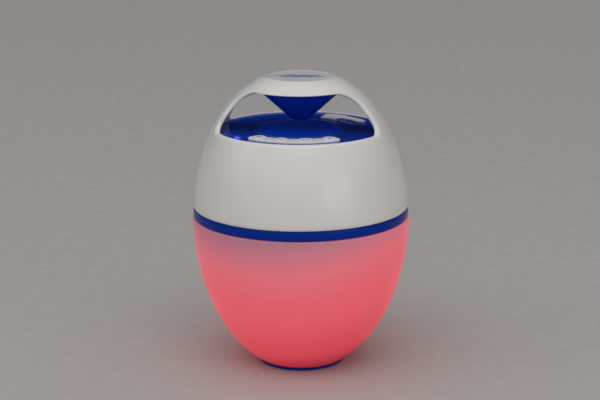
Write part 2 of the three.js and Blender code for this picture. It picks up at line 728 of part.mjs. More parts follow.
add("upper_shell", upperShell(), materials.whiteGloss);
add("top_badge", topBadge(), materials.badgeGrey);
add("diffuser_cone", diffuserCone(), materials.blueTextured);
addEach("cone_screw", conePostPlaces(), (place) =>
  panScrew(place, badge.pocket - screw.headHeight - 0.05, conePost.screwTip), materials.steel);

add("deck", deckPanel(), materials.blueGloss);
add("speaker_grille", speakerGrille(), materials.blueTextured);
add("grille_ring", grilleRing(), materials.blueGloss);
add("keypad_strip", keypadStrip(), materials.silicone);
buttonNames.forEach((name, i) => add(`button_${name}`, buttonCap(buttonAngles[i]), materials.silicone));
add("status_lens", statusLens(), materials.lensGlow);
add("port_cover", portCover(), materials.silicone);
add("port_flap", portFlap(), materials.silicone);
add("charging_socket", chargingSocket(), materials.steel);
add("button_board", buttonBoard(), materials.circuit);
addEach("tact_switch", buttonAngles, (angle) => tactSwitch(angle), materials.blackPlastic);
addEach("deck_screw", deckLeg.angles, (angle) =>
  panScrew(onPlan(deckLeg.at, angle), chassis.low - GAP, deckLeg.screwTip), materials.steel);

add("driver_frame", driverFrame(), materials.blackPlastic);
add("driver_magnet", driverMagnet(), materials.castIron);
add("driver_surround", driverSurround(), materials.rubber);
add("driver_cone", driverCone(), materials.paperCone);
addEach("driver_screw", speakerScrew.angles, (angle) =>
  panScrew(onPlan(speakerScrew.at, angle), basket.rimLow - GAP, speakerScrew.tip), materials.steel);

add("chassis_plate", chassisPlate(), materials.blackPlastic);
add("main_board", mainCircuit(), materials.circuit);
addEach("board_screw", boardScrewAt, (place) =>
  panScrew(place, mainBoard.low + mainBoard.thick + GAP, chassis.low + 0.7), materials.steel);
add("battery_cradle", batteryCradle(), materials.blackPlastic);
add("battery_cell", batteryCell(), materials.cellWrap);
add("reflector", reflector(), materials.whitePlastic);
add("led_board", lampBoard(), materials.circuit);
addEach("led", Array.from({ length: lamp.count }), (_, i) => lampChip(i), materials.lampWhite);

add("band_ring", bandRing(), materials.blueGloss);
add("seal_ring", sealRing(), materials.rubber);
addEach("shell_screw", shellPost.angles, (angle) =>
  panScrew(onPlan(shellPost.at, angle), bandFlange.low - GAP, shellPost.pilotEnd - 2), materials.steel);
add("lower_bowl", lowerBowl(), materials.bowlGlow);
add("ballast_weight", ballastWeight(), materials.castIron);
add("base_foot", baseFoot(), materials.blueGloss);
addEach("foot_screw", footScrewPlaces(), (place) =>
  panScrew(place, footScrew.headFace - GAP, footScrew.tip), materials.steel);

export default light;
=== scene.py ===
"""Looks of the floating pool light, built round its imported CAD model.

Blender works in metres, +Z up, with the front of the light towards -Y. Sizes below are in
millimetres and mesh builders turn them into metres. Angles on the deck are in degrees from the
front, growing towards +X.
"""

import math

import bmesh
import bpy
import numpy as np
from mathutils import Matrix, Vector
from mathutils.geometry import delaunay_2d_cdt


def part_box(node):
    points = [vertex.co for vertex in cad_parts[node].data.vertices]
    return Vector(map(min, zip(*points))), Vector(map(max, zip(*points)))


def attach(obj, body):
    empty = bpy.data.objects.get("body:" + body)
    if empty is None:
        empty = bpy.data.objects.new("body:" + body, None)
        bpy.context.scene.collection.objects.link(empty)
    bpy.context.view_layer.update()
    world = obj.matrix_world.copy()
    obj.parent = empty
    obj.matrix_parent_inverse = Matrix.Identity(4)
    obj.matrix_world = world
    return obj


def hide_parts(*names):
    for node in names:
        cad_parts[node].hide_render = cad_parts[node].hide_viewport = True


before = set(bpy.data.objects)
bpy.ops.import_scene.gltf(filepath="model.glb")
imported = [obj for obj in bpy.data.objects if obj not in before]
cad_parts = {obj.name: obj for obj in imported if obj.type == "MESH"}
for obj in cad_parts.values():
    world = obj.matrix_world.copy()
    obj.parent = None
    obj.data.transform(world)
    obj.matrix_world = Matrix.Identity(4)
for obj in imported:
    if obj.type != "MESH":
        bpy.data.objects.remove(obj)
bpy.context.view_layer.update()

MM = 0.001
CASING = "casing"
SCENE = bpy.context.scene


def extent(node):
    """Lowest and highest corner of a CAD node, in millimetres."""
    low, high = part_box(node)
    return np.array(low) / MM, np.array(high) / MM


# ---------------------------------------------------------------- sizes, from the frame

SHELL_RADIUS = extent("upper_shell")[1][0]
BOWL_RADIUS = extent("lower_bowl")[1][0]
BOWL_LOW = extent("lower_bowl")[0][2]
BOWL_HIGH = extent("lower_bowl")[1][2]
BAND_HEIGHT = 6.0
JOIN = BOWL_HIGH + BAND_HEIGHT
# The band's skirt hangs this far over the bowl's rim.
BAND_SKIRT = 0.9
BOWL_RIM = BOWL_HIGH - BAND_SKIRT
BAND_RADIUS = extent("band_ring")[1][0]
DECK_TOP = extent("deck")[1][2]
RING_OUTER = extent("grille_ring")[1][0]
GRILLE_RADIUS = extent("speaker_grille")[1][0]
GRILLE_LOW = extent("speaker_grille")[0][2]
BADGE_RADIUS = extent("top_badge")[1][0]
BADGE_LOW = extent("top_badge")[0][2]
BADGE_TOP = extent("top_badge")[1][2]
CONE_TIP = extent("diffuser_cone")[0][2]
CONE_RADIUS = extent("diffuser_cone")[1][0]
KEYPAD_LOW = extent("keypad_strip")[0][2]
KEYPAD_TOP = extent("keypad_strip")[1][2]
BUTTON_TOP = extent("button_play")[1][2]
PORT_TOP = extent("port_cover")[1][2]
FOOT_RADIUS = extent("base_foot")[1][0]
FOOT_HUB_TOP = extent("base_foot")[1][2]

# The egg: how full each half is, as in the CAD model.
SHELL_RISE = 86.0
SHELL_BULGE = 1.585
SHELL_FULLNESS = 2.7
CROWN = JOIN + SHELL_RISE
BOWL_DROP = 105.14
BOWL_BULGE = 1.967
BOWL_FULLNESS = 2.109
SHELL_WALL = 3.0
BOWL_WALL = 2.5
# The bridge is solid from here up to the crown.
CEILING = 185.5
# Step of the grid that the shell's surface is found on, and the angle at which an edge looks sharp.
SHELL_GRID = 0.85
SHELL_SMOOTH = 40.0

# The windows: outline in the YZ plane, the same at the front and the back.
SILL = 155.9
HEAD = 181.75
PILLAR_LOW = (18.0, 160.0)
PILLAR_HIGH = (16.0, 176.0)
SILL_FILLET = 6.5
HEAD_FILLET = 9.4
LIP = SHELL_WALL / 2

# The charging port on the deck: the two radii of each block, and the angles where they end.
PORT_FLAP = (41.8, 48.0)
PORT_ANCHOR = (35.8, 49.6)
PORT_HINGE = 147.8
PORT_LEFT = 165.5
PORT_RIGHT = 121.5
SOCKET_ANGLE = 134.5

# The status light: its distance to the axis and its angle from the front.
STATUS_PLACE = (47.5, -50.0)

# The keys lie on this circle, so many degrees apart.
KEY_CIRCLE = 41.0
KEY_STEP = 21.7
KEYS = ("light", "volume_down", "play", "volume_up")
KEY_ANGLES = [(place - (len(KEYS) - 1) / 2) * KEY_STEP for place in range(len(KEYS))]
# Each cap: its radius, the rounding of its top edge and how far its face is dished.
CAP_RADIUS = 4.45
CAP_EDGE = 0.5
CAP_DISH = 0.18


def on_plan(radius, degrees):
    """A point on the deck plan, from its distance to the axis and its angle from the front."""
    turn = math.radians(degrees)
    return np.array((radius * math.sin(turn), -radius * math.cos(turn)))


# ---------------------------------------------------------------- materials

def socket_number(value):
    return (*value, 1.0) if isinstance(value, tuple) and len(value) == 3 else value


def principled(name, settings):
    """A new material, its shader's sockets set to constant values."""
    material = bpy.data.materials.new(name)
    material.use_nodes = True
    shader = material.node_tree.nodes["Principled BSDF"]
    for socket, value in settings.items():
        shader.inputs[socket].default_value = socket_number(value)
    return material


def shader_of(material):
    return material.node_tree.nodes["Principled BSDF"]


def new_node(material, kind, settings=None, links=None):
    """A node, with its input values and what feeds them."""
    node = material.node_tree.nodes.new(kind)
    for socket, value in (settings or {}).items():
        node.inputs[socket].default_value = socket_number(value)
    for socket, source in (links or {}).items():
        material.node_tree.links.new(source, node.inputs[socket])
    return node


def object_place(material):
    found = [n for n in material.node_tree.nodes if n.bl_idname == "ShaderNodeTexCoord"]
    node = found[0] if found else new_node(material, "ShaderNodeTexCoord")
    return node.outputs["Object"]


def noise(material, scale, detail):
    place = object_place(material)
    return new_node(material, "ShaderNodeTexNoise", {"Scale": scale, "Detail": detail}, {"Vector": place})


def ramp(material, source, stops):
    """A colour ramp fed by source, from (position, colour) stops."""
    node = new_node(material, "ShaderNodeValToRGB", links={"Fac": source})
    elements = node.color_ramp.elements
    while len(elements) < len(stops):
        elements.new(0.5)
    for element, (position, colour) in zip(elements, stops):
        element.position = position
        element.color = socket_number(colour)
    return node.outputs["Color"]


def feed(material, socket, source):
    material.node_tree.links.new(source, shader_of(material).inputs[socket])


def add_bump(material, source, strength, distance):
    node = new_node(
        material, "ShaderNodeBump", {"Strength": strength, "Distance": distance}, {"Height": source}
    )
    feed(material, "Normal", node.outputs["Normal"])


def moulded(name, colour, roughness, extra=None, grain=900.0, depth=0.00002, spread=0.08, smears=0.16):
    """Moulded plastic: slightly uneven colour (spread) and gloss (smears), and a fine surface grain."""
    cloud_scale = 45.0
    smudge_scale = 90.0
    bump_strength = 0.25
    settings = {"Base Color": colour, "Roughness": roughness}
    settings.update(extra or {})
    material = principled(name, settings)
    cloud = noise(material, cloud_scale, 2.0).outputs["Fac"]
    darker = tuple(part * (1 - spread) for part in colour)
    lighter = tuple(min(1.0, part * (1 + spread * 0.5)) for part in colour)
    feed(material, "Base Color", ramp(material, cloud, [(0.3, darker), (0.7, lighter)]))
    rough_low = (roughness * (1 - smears),) * 3
    rough_high = (roughness * (1 + smears),) * 3
    smudge = noise(material, smudge_scale, 1.0).outputs["Fac"]
    feed(material, "Roughness", ramp(material, smudge, [(0.35, rough_low), (0.7, rough_high)]))
    add_bump(material, noise(material, grain, 2.0).outputs["Fac"], bump_strength, depth)
    return material


def mapped(material, source, low, high):
    """What source says, as a share of the way from low to high."""
    node = new_node(material, "ShaderNodeMapRange", {"From Min": low, "From Max": high}, {"Value": source})
    return node.outputs["Result"]


def leaning_height(material):
    """Height, less a little towards the right and towards both sides, so that what it feeds sags there. The
    sag towards both sides is painted shade: the upper middle of the bowl's front stays dimmer and greyer than
    its sides, as if the parts inside shaded it.
    """
    lean = 0.10
    # Painted shade: how much the upper middle of the front stays dimmer and greyer than the sides.
    painted_shade_sag = 2.0
    parts = new_node(material, "ShaderNodeSeparateXYZ", links={"Vector": object_place(material)}).outputs
    slope = new_node(material, "ShaderNodeMath", {1: -painted_shade_sag, 2: -lean}, {0: parts["X"]})
    slope.operation = "MULTIPLY_ADD"
    links = {0: parts["X"], 1: slope.outputs["Value"], 2: parts["Z"]}
    height = new_node(material, "ShaderNodeMath", links=links)
    height.operation = "MULTIPLY_ADD"
    return height.outputs["Value"]


def glowing_bowl():
    """Milky plastic lit from inside: rosy and brightest low down, mauve and fainter under the band. Its base
    colour also changes with height, as painted light.
    """
    material = moulded(
        "bowl_glow", (0.27, 0.23, 0.27), 0.32,
        {"Specular IOR Level": 0.15}, grain=300.0, depth=0.0000015, spread=0.01, smears=0.03,
    )
    level = mapped(material, leaning_height(material), BOWL_LOW * MM, BOWL_HIGH * MM)
    # Painted light: the base colour is paler and greyer towards the top and darker and redder low down.
    feed(material, "Base Color", ramp(material, level, [
        (0.1, (0.18, 0.05, 0.07)),
        (0.55, (0.22, 0.13, 0.15)),
        (0.9, (0.26, 0.24, 0.28)),
    ]))
    glow = ramp(material, level, [
        (0.0, (0.28, 0.006, 0.015)),
        (0.12, (0.52, 0.035, 0.05)),
        (0.4, (0.62, 0.055, 0.075)),
        (0.75, (0.56, 0.05, 0.07)),
        (0.88, (0.38, 0.035, 0.06)),
        (1.0, (0.20, 0.02, 0.045)),
    ])
    feed(material, "Emission Color", glow)
    shader_of(material).inputs["Emission Strength"].default_value = 1.0
    return material


def lit_lens():
    """A small lens lit from below, brightest in its middle."""
    fade = 3.0 * MM
    material = moulded("status_glow", (0.05, 0.06, 0.5), 0.25, {"Emission Strength": 1.6})
    away = new_node(material, "ShaderNodeVectorMath", links={0: object_place(material)})
    away.operation = "DISTANCE"
    away.inputs[1].default_value = (*on_plan(*STATUS_PLACE) * MM, DECK_TOP * MM)
    near = mapped(material, away.outputs["Value"], 0.0, fade)
    feed(material, "Emission Color", ramp(material, near, [
        (0.0, (0.16, 0.18, 0.9)), (0.5, (0.03, 0.05, 0.6)), (1.0, (0.003, 0.008, 0.2)),
    ]))
    return material


def circuit_board():
    """Green board with coppery pads."""
    green = (0.02, 0.15, 0.07)
    copper = (0.35, 0.25, 0.06)
    material = moulded("circuit_board", green, 0.35, {"Coat Weight": 0.3})
    pads = new_node(material, "ShaderNodeTexVoronoi", {"Scale": 260.0}, {"Vector": object_place(material)})
    feed(material, "Base Color", ramp(material, pads.outputs["Distance"], [(0.12, copper), (0.2, green)]))
    return material


def pale_floor():
    return moulded(
        "pale_floor", (0.50, 0.49, 0.48), 0.6, {"Specular IOR Level": 0.25}, grain=400.0, spread=0.004
    )


MATERIALS = {
    "shell_white": moulded(
        "shell_white", (0.79, 0.775, 0.76), 0.24, {"Specular IOR Level": 0.5},
        grain=300.0, depth=0.000002, spread=0.008, smears=0.03,
    ),
    "badge_grey": moulded("badge_grey", (0.64, 0.64, 0.65), 0.4, grain=2200.0, spread=0.03),
    "badge_blue": moulded("badge_blue", (0.004, 0.05, 0.42), 0.35),
    "blue_gloss": moulded("blue_gloss", (0.001, 0.042, 0.42), 0.08, {"Specular IOR Level": 0.3}, spread=0.03),
    "blue_band": moulded("blue_band", (0.001, 0.029, 0.31), 0.25, {"Specular IOR Level": 0.1}, spread=0.03),
    "blue_textured": moulded(
        "blue_textured", (0.001, 0.036, 0.44), 0.42, {"Specular IOR Level": 0.25},
        grain=1500.0, depth=0.00005,
    ),
    # A brighter copy of blue_textured for the grille: painted light.
    "blue_textured_painted_lit": moulded(
        "blue_textured_painted_lit", (0.001, 0.058, 0.64), 0.4, {"Specular IOR Level": 0.1},
        grain=1500.0, depth=0.00003,
    ),
    "silicone": moulded("silicone", (0.80, 0.79, 0.82), 0.5, {"Sheen Weight": 0.15}, spread=0.03),
    "key_print": moulded("key_print", (0.09, 0.09, 0.10), 0.5),
    "blue_trim": moulded("blue_trim", (0.01, 0.05, 0.36), 0.16, {"Specular IOR Level": 0.7}, spread=0.03),
    "bowl": glowing_bowl(),
    "status_glow": lit_lens(),
    "steel": moulded("steel", (0.55, 0.56, 0.58), 0.32, {"Metallic": 1.0}, grain=1800.0),
    "ferrite": moulded("ferrite", (0.06, 0.06, 0.065), 0.6, {"Metallic": 0.4}, grain=700.0, depth=0.00006),
    "black_plastic": moulded("black_plastic", (0.02, 0.02, 0.022), 0.45),
    "paper": moulded("paper", (0.035, 0.035, 0.04), 0.85, grain=500.0, depth=0.00012),
    "rubber": moulded("rubber", (0.018, 0.018, 0.02), 0.6),
    "white_plastic": moulded("white_plastic", (0.75, 0.75, 0.73), 0.45),
    "circuit": circuit_board(),
    "cell_wrap": moulded("cell_wrap", (0.03, 0.16, 0.42), 0.3, {"Coat Weight": 0.3}),
    "lamp": moulded("lamp", (0.85, 0.78, 0.5), 0.4),
}


# ---------------------------------------------------------------- mesh builders

def smooth_but_for_edges(mesh, degrees):
    mesh.shade_smooth()
    mesh.set_sharp_from_angle(angle=math.radians(degrees))


def make_object(name, vertices, faces, material, smooth_angle=35.0):
    """A mesh object from points in millimetres, smooth except at sharp edges."""
    same_point = 1e-7
    mesh = bpy.data.meshes.new(name)
    mesh.from_pydata((np.asarray(vertices) * MM).tolist(), [], [list(map(int, face)) for face in faces])
    tidy = bmesh.new()
    tidy.from_mesh(mesh)
    bmesh.ops.remove_doubles(tidy, verts=tidy.verts, dist=same_point)
    bmesh.ops.recalc_face_normals(tidy, faces=tidy.faces)
    tidy.to_mesh(mesh)
    tidy.free()
    smooth_but_for_edges(mesh, smooth_angle)
    mesh.materials.append(MATERIALS[material])
    piece = bpy.data.objects.new(name, mesh)
    SCENE.collection.objects.link(piece)
    return piece


def place_piece(piece, body, slot, *nodes):
    """Says what the piece rides on and hides the CAD nodes that it stands for. Its finish, slot, is not used.
    """
    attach(piece, body)
    if nodes:
        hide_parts(*nodes)
    return piece


def unit(vector):
    return vector / np.linalg.norm(vector)


def rounded(corners, closed=True, arc_steps=5, side_steps=(1,)):
    """Points of an outline. Its [x, y, radius] corners become arcs, and side_steps divides its sides."""
    places = [np.array(corner[:2], float) for corner in corners]
    count = len(corners)
    stretches = []
    for i, corner in enumerate(corners):
        if corner[2] <= 0 or (not closed and i in (0, count - 1)):
            stretches.append([places[i]])
            continue
        back = unit(places[i - 1] - places[i])
        ahead = unit(places[(i + 1) % count] - places[i])
        half = math.acos(np.clip(back @ ahead, -1, 1)) / 2
        centre = places[i] + unit(back + ahead) * corner[2] / math.sin(half)
        start = places[i] + back * corner[2] / math.tan(half) - centre
        end = places[i] + ahead * corner[2] / math.tan(half) - centre
        first = math.atan2(start[1], start[0])
        sweep = (math.atan2(end[1], end[0]) - first + math.pi) % (2 * math.pi) - math.pi
        turns = first + sweep * np.linspace(0, 1, arc_steps + 1)
        stretches.append([centre + corner[2] * np.array((math.cos(t), math.sin(t))) for t in turns])
    points = []
    for i, stretch in enumerate(stretches):
        points.extend(stretch)
        if closed or i < count - 1:
            following = stretches[(i + 1) % count][0]
            steps = side_steps[i % len(side_steps)]
            for share in np.arange(1, steps) / steps:
                points.append(stretch[-1] * (1 - share) + following * share)
    return np.array(points)


def circle(radius, centre=(0.0, 0.0), points=32):
    turns = np.linspace(0, 2 * math.pi, points, endpoint=False)
    return np.stack((centre[0] + radius * np.cos(turns), centre[1] + radius * np.sin(turns)), 1)


def turned(name, profile, material, around, closed=False, shape=None, smooth_angle=35.0):
    """A turned mesh from (radius, height) points. shape can then move its points."""
    profile = np.asarray(profile, float)
    turns = np.linspace(0, 2 * math.pi, around, endpoint=False)
    x = profile[:, 0, None] * np.sin(turns)
    y = -profile[:, 0, None] * np.cos(turns)
    z = np.repeat(profile[:, 1, None], around, 1)
    points = np.stack((x, y, z), -1)
    if shape:
        points = shape(points)
    rows = len(profile)
    index = np.arange(rows * around).reshape(rows, around)
    nearer = index if closed else index[:-1]
    farther = np.roll(index, -1, 0) if closed else index[1:]
    quads = np.stack(
        (nearer, np.roll(nearer, -1, 1), np.roll(farther, -1, 1), farther), -1
    ).reshape(-1, 4)
    faces = [without_repeats(quad, profile, around) for quad in quads.tolist()]
    return make_object(name, points.reshape(-1, 3), faces, material, smooth_angle)


def without_repeats(quad, profile, around):
    """A quad with one corner left of those that lie on the axis."""
    on_the_axis = 1e-6
    kept = []
    seen_axis = False
    for corner in quad:
        on_axis = profile[corner // around][0] < on_the_axis
        if on_axis and seen_axis:
            continue
        seen_axis = seen_axis or on_axis
        kept.append(corner)
    return kept


def ring_points(outline, height):
    return np.column_stack((outline, np.full(len(outline), height)))


def flat_faces(contours, first):
    """Triangles between the first contour and the holes, as vertex numbers."""
    starts = np.cumsum([0] + [len(c) for c in contours])
    flat = [Vector(p[:2]) for contour in contours for p in contour]
    edges = []
    for start, contour in zip(starts, contours):
        count = len(contour)
        edges += [(int(start + i), int(start + (i + 1) % count)) for i in range(count)]
    made = delaunay_2d_cdt(flat, edges, [], 0, 1e-6)
    source = [origin[0] if origin else 0 for origin in made[3]]
    owner = np.searchsorted(starts, np.arange(starts[-1]), side="right") - 1
    outline = np.array([p[:2] for p in contours[0]])
    faces = []
    for face in made[2]:
        corners = [source[v] for v in face]
        owners = {int(owner[v]) for v in corners}
        if len(owners) == 1:
            middle = np.mean([flat[v] for v in corners], 0)
            if owners != {0} or not inside_outline(middle, outline):
                continue
        faces.append([first[v] for v in corners])
    return faces


def inside_outline(point, outline):
    a = outline
    b = np.roll(outline, -1, 0)
    crosses = (a[:, 1] > point[1]) != (b[:, 1] > point[1])
    with np.errstate(divide="ignore", invalid="ignore"):
        where = a[:, 0] + (point[1] - a[:, 1]) * (b[:, 0] - a[:, 0]) / (b[:, 1] - a[:, 1])
    return bool(np.sum(crosses & (point[0] < where)) % 2)


def plate(name, contours, material, shape=None, smooth_angle=35.0):
    """A plate with holes: each contour, the outer one first, is a list of rings from top to bottom."""
    vertices = []
    faces = []
    tops = []
    bottoms = []
    for rings in contours:
        count = len(rings[0])
        base = len(vertices)
        for ring in rings:
            vertices.extend(ring)
        for level in range(len(rings) - 1):
            for i in range(count):
                a = base + level * count + i
                b = base + level * count + (i + 1) % count
                faces.append((a, b, b + count, a + count))
        tops.extend(range(base, base + count))
        bottoms.extend(range(base + (len(rings) - 1) * count, base + len(rings) * count))
    faces += flat_faces([rings[0] for rings in contours], tops)
    faces += flat_faces([rings[-1] for rings in contours], bottoms)
    points = np.array(vertices)
    if shape:
        points = shape(points)
    return make_object(name, points, faces, material, smooth_angle)


def edge_rings(outline, low, high, top_round, bottom_round=0.0, steps=4):
    """Rings down the side of a plate. outline(inset) gives its outline, moved inwards by inset."""
    turns = np.linspace(0, math.pi / 2, steps + 1)
    rings = []
    for turn in turns:
        inset = top_round * (1 - math.sin(turn))
        rings.append(ring_points(outline(inset), high - top_round * (1 - math.cos(turn))))
    for turn in turns if bottom_round else [0.0]:
        inset = bottom_round * (1 - math.cos(turn))
        rings.append(ring_points(outline(inset), low + bottom_round * (1 - math.sin(turn))))
    return rings


def hole_rings(outline, low, high, top_round=0.0, steps=3):
    """Rings down the wall of a hole. outline(growth) gives its outline, widened by growth."""
    rings = []
    for turn in np.linspace(0, math.pi / 2, steps + 1) if top_round else [0.0]:
        growth = top_round * (1 - math.sin(turn))
        rings.append(ring_points(outline(growth), high - top_round * (1 - math.cos(turn))))
    rings.append(ring_points(outline(0.0), low))
    return rings


def bent_bar(length, width, corner, middle, angle, inset=0.0, steps=4):
    """Outline of a round-cornered bar that lies along the circle round the axis."""
    half_length = length / 2 - inset
    half_width = width / 2 - inset
    radius = max(corner - inset, 0.05)
    flat = rounded([
        (-half_length, -half_width, radius), (half_length, -half_width, radius),
        (half_length, half_width, radius), (-half_length, half_width, radius),
    ], arc_steps=8, side_steps=(steps, 1))
    turn = math.radians(angle) + flat[:, 0] / middle
    reach = middle - flat[:, 1]
    return np.stack((reach * np.sin(turn), -reach * np.cos(turn)), 1)


# ---------------------------------------------------------------- surfaces from a field

def surface_net(field, axes):
    """A quad mesh of the surface where field(x, y, z) is nought, on a grid of x, y and z values."""
    x, y, z = np.ix_(*axes)
    values = field(x, y, z)
    inside = values < 0
    cells = tuple(n - 1 for n in values.shape)
    total = np.zeros((*cells, 3))
    crossings = np.zeros(cells)
    quads = []
    for axis in range(3):
        a = np.take(values, range(cells[axis]), axis)
        b = np.take(values, range(1, cells[axis] + 1), axis)
        changes = (a < 0) != (b < 0)
        where = np.argwhere(changes)
        share = a[changes] / (a[changes] - b[changes])
        points = np.stack([axes[k][where[:, k]] for k in range(3)], 1)
        points[:, axis] += share * np.diff(axes[axis])[where[:, axis]]
        others = [k for k in range(3) if k != axis]
        for first in (0, 1):
            for second in (0, 1):
                cell = where.copy()
                cell[:, others[0]] -= first
                cell[:, others[1]] -= second
                valid = np.all((cell >= 0) & (cell < cells), 1)
                np.add.at(total, tuple(cell[valid].T), points[valid])
                np.add.at(crossings, tuple(cell[valid].T), 1)
        quads.append((axis, where))
    active = crossings > 0
    number = np.full(cells, -1)
    number[active] = np.arange(active.sum())
    vertices = total[active] / crossings[active][:, None]
    faces = []
    for axis, where in quads:
        first, second = [(axis + 1) % 3, (axis + 2) % 3]
        corners = []
        for back_first, back_second in ((1, 1), (0, 1), (0, 0), (1, 0)):
            cell = where.copy()
            cell[:, first] -= back_first
            cell[:, second] -= back_second
            corners.append(cell)
        stack = np.stack(corners, 1)
        valid = np.all((stack >= 0) & (stack < cells), (1, 2))
        ids = number[tuple(stack[valid].reshape(-1, 3).T)].reshape(-1, 4)
        flip = ~inside[tuple(where[valid].T)]
        ids[flip] = ids[flip][:, ::-1]
        faces.append(ids)
    return vertices, np.concatenate(faces)


def settle(field, points, rounds=3, reach=0.02):
    """Moves points onto the surface where field is nought."""
    least_slope = 0.05
    longest_move = 0.5
    for _ in range(rounds):
        x, y, z = points.T
        value = field(x, y, z)
        slope = np.stack((
            field(x + reach, y, z) - field(x - reach, y, z),
            field(x, y + reach, z) - field(x, y - reach, z),
            field(x, y, z + reach) - field(x, y, z - reach),
        ), 1) / (2 * reach)
        move = value[:, None] * slope / np.maximum((slope ** 2).sum(1), least_slope)[:, None]
        length = np.linalg.norm(move, axis=1, keepdims=True)
        points = points - move * np.minimum(1, longest_move / np.maximum(length, 1e-9))
    return points


def both(a, b, radius):
    """Inside both, with the edge between them rounded."""
    corner = np.hypot(np.maximum(a + radius, 0), np.maximum(b + radius, 0))
    return np.minimum(np.maximum(a, b), -radius) + corner


def either(a, b, blend):
    """Inside one or the other, with the corner between them filled."""
    overlap = np.maximum(blend - np.abs(a - b), 0) / blend
    return np.minimum(a, b) - overlap ** 2 * blend / 4


# ---------------------------------------------------------------- upper shell

def egg_side(x, y, z):
    """Distance outside the shell's egg, and the upward and forward parts of its normal."""
    reach = np.maximum(np.sqrt(x * x + y * y), 1e-6)
    rise = np.maximum(z - JOIN, 0) + 1e-9
    level = (reach / SHELL_RADIUS) ** SHELL_FULLNESS + (rise / SHELL_RISE) ** SHELL_BULGE - 1
    along = SHELL_FULLNESS * (reach / SHELL_RADIUS) ** (SHELL_FULLNESS - 1) / SHELL_RADIUS
    up = SHELL_BULGE * (rise / SHELL_RISE) ** (SHELL_BULGE - 1) / SHELL_RISE
    least_steep = 0.004
    steep = np.maximum(np.hypot(along, up), least_steep)
    return level / steep, up / steep, along / steep * y / reach


def window_depth(y, z):
    """How far inside a window's outline a point is, in the YZ plane."""
    lean = (PILLAR_LOW[0] - PILLAR_HIGH[0]) / (PILLAR_HIGH[1] - PILLAR_LOW[1])
    side = (PILLAR_LOW[0] - (z - PILLAR_LOW[1]) * lean - np.abs(y)) / math.hypot(1, lean)
    low_corner = both(SILL - z, side, SILL_FILLET)
    high_corner = both(z - HEAD, side, HEAD_FILLET)
    return -np.maximum(low_corner, high_corner)


def shell_field(x, y, z):
    """Below nought inside the shell's material: an even wall with rolled lips round the windows."""
    reach = 0.05
    least_lean = 0.12
    ceiling_edge = 0.5
    ceiling_fill = 1.5
    rim_edge = 0.6
    outside, normal_up, normal_y = egg_side(x, y, z)
    depth = window_depth(y, z)
    slope_y = (window_depth(y + reach, z) - window_depth(y - reach, z)) / (2 * reach)
    slope_z = (window_depth(y, z + reach) - window_depth(y, z - reach)) / (2 * reach)
    facing = normal_y * slope_y + normal_up * slope_z
    along_wall = depth / np.sqrt(np.maximum(1 - facing ** 2, least_lean))
    wall = np.hypot(outside + LIP, np.maximum(along_wall + LIP, 0)) - LIP
    ceiling = both(outside, CEILING - z, ceiling_edge)
    return both(either(wall, ceiling, ceiling_fill), JOIN - z, rim_edge)


def upper_shell():
    """The shell, on a grid that is coarser below the windows, with the badge's pocket cut in its crown."""
    reach = 71.3
    across = np.arange(-reach, reach + 0.1, SHELL_GRID)
    finer_from = SILL - 5
    below = np.arange(JOIN - 1.1, finer_from, 1.5 * SHELL_GRID)
    above = np.arange(finer_from, CROWN + 1.5, 0.9 * SHELL_GRID)
    off_centre = 0.05
    axes = (across, across + off_centre, np.concatenate((below, above)))
    vertices, faces = surface_net(shell_field, axes)
    piece = make_object("shell_body", settle(shell_field, vertices), faces, "shell_white", SHELL_SMOOTH)
    gap = 0.12
    low = BADGE_LOW - gap
    high = CROWN + 3
    wide = BADGE_RADIUS + gap
    pocket = [(0, low), (wide, low), (wide, high), (0, high)]
    cut_away(piece, turned("pocket_cutter", pocket, "shell_white", 180))
    return place_piece(piece, CASING, "shell_white", "upper_shell")


def cut_away(piece, cutter):
    """Cuts the cutter out of the piece, then removes the cutter."""
    modifier = piece.modifiers.new("cut", "BOOLEAN")
    modifier.operation = "DIFFERENCE"
    modifier.solver = "EXACT"
    modifier.object = cutter
    graph = bpy.context.evaluated_depsgraph_get()
    result = bpy.data.meshes.new_from_object(piece.evaluated_get(graph))
    piece.modifiers.clear()
    piece.data = result
    smooth_but_for_edges(piece.data, SHELL_SMOOTH)
    bpy.data.objects.remove(cutter)


def badge_height(radius):
    """Height of the badge's nearly flat face."""
    rise = 0.3
    return BADGE_TOP - rise * (radius / BADGE_RADIUS) ** 2


def top_badge():
    edge = 0.25
    face = [(radius, badge_height(radius)) for radius in np.linspace(BADGE_RADIUS - edge, 0, 16)]
    corners = [(BADGE_RADIUS, BADGE_LOW, 0), (BADGE_RADIUS, face[0][1], edge), (*face[0], 0)]
    side = rounded(corners, closed=False)
    profile = [(0, BADGE_LOW), *side[:-1], *face]
    piece = turned("badge_disc", profile, "badge_grey", 180)
    return place_piece(piece, CASING, "badge_grey", "top_badge")


